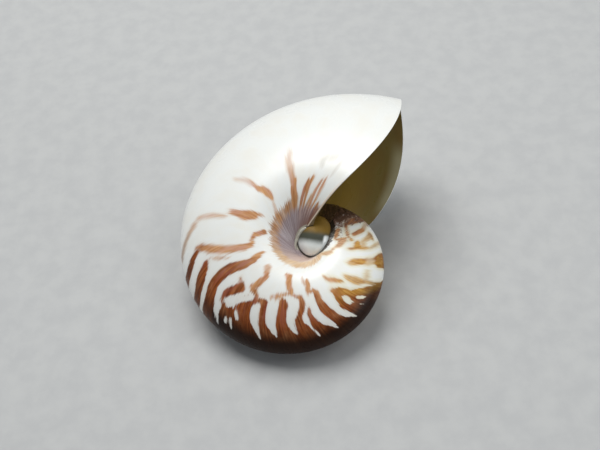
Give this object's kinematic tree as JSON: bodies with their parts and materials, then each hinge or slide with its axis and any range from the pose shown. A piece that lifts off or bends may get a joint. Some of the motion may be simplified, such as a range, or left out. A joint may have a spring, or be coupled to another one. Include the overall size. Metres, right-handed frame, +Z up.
{
  "type": "nautilus shell",
  "caption": "Whole coiled nautilus shell lying on its side, with a white flaring body chamber, striped flanks and a callus knob at each umbilicus.",
  "frame": {"origin": "middle of the shell's box in plan, on the surface it lies on", "axes": "+Z up from the surface; the mouth opens towards +X, and the coil's middle plane leans about 17 degrees from level, as the shell comes to rest"},
  "size_m": [0.1324, 0.138, 0.0765],
  "materials": {
    "shell": "glossy natural shell, porcelain outside with brown stripes and pearly inside"
  },
  "bodies": {
    "root": {"shell": "shell"}
  },
  "joints": []
}
